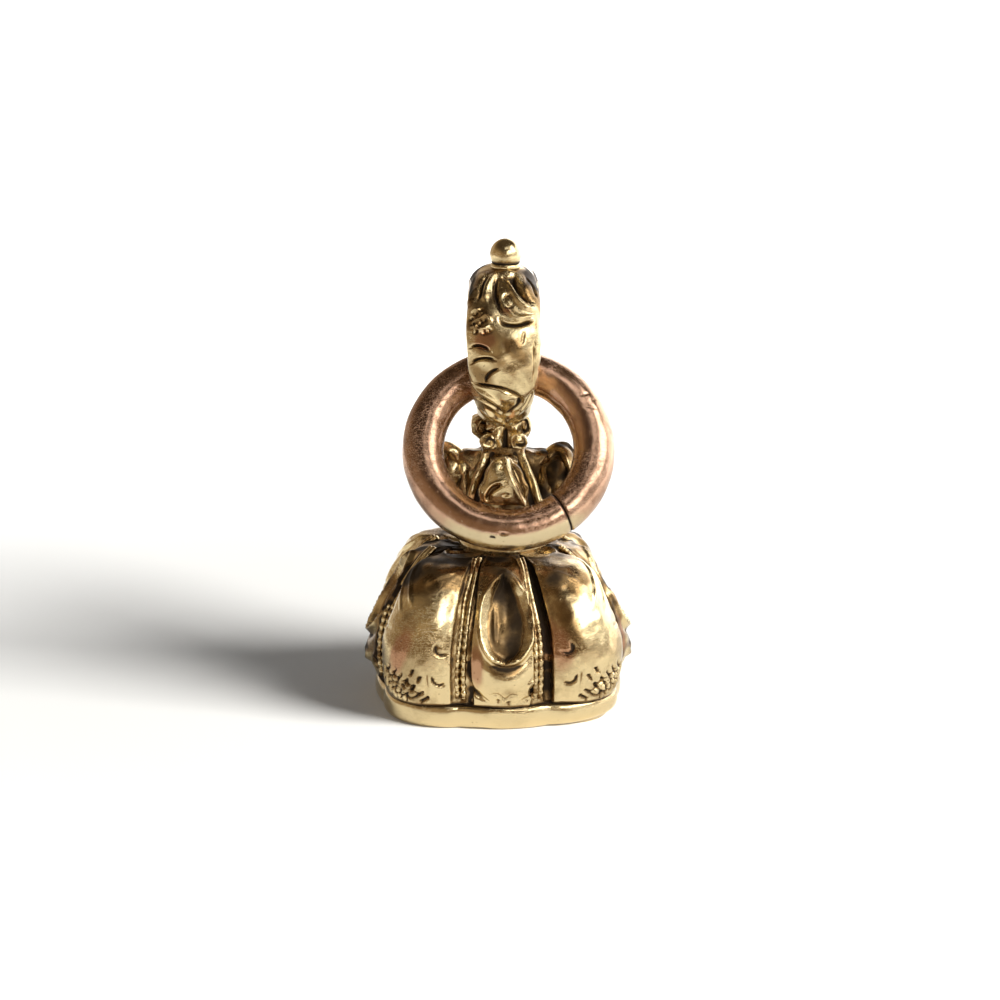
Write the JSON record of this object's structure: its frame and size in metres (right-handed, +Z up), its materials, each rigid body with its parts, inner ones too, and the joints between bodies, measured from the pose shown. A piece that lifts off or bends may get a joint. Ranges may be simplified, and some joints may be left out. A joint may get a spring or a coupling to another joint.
{
  "type": "pocket watch fob",
  "caption": "Lobed gold seal fob with a scrolled handle, looped bow, ball finial and a swinging jump ring for a watch chain.",
  "frame": {"origin": "centre of the seal face's plane, at the bottom of the body", "axes": "+Z up from the seal face along the handle, -Y towards the side on which the ring leans, +X to the right seen from there"},
  "size_m": [0.0146, 0.0142, 0.025],
  "materials": {
    "cast_gold": "worn cast gold, darkened in the grooves",
    "ring_gold": "worn rose gold wire",
    "peg_gold": "dull, hidden",
    "seal_stone": "polished hardstone",
    "cement": "matt resin cement"
  },
  "bodies": {
    "seal": {"dome_shell": "cast_gold", "groove_ribs": "cast_gold", "foot_rim": "cast_gold", "neck_collar": "cast_gold", "stem": "cast_gold", "calyx": "cast_gold", "leaf_front": "cast_gold", "leaf_right": "cast_gold", "leaf_back": "cast_gold", "leaf_left": "cast_gold", "volute_front_left": "cast_gold", "volute_front_right": "cast_gold", "volute_back_left": "cast_gold", "volute_back_right": "cast_gold", "waist_scroll_left": "cast_gold", "waist_scroll_right": "cast_gold", "bow_front_limb": "cast_gold", "bow_back_limb": "cast_gold", "finial_seat": "cast_gold", "ball_finial": "cast_gold", "seal_stone": "seal_stone", "cement_bed": "cement", "handle_peg": "peg_gold", "peg_washer": "peg_gold"},
    "ring": {"jump_ring": "ring_gold"}
  },
  "joints": [
    {"name": "ring_swing", "type": "hinge", "parent": "seal", "child": "ring", "pos_m": [0.00055, -0.00001, 0.01793], "axis": [-0.9986, 0.0523, 0], "range_deg": [0, 288]}
  ]
}
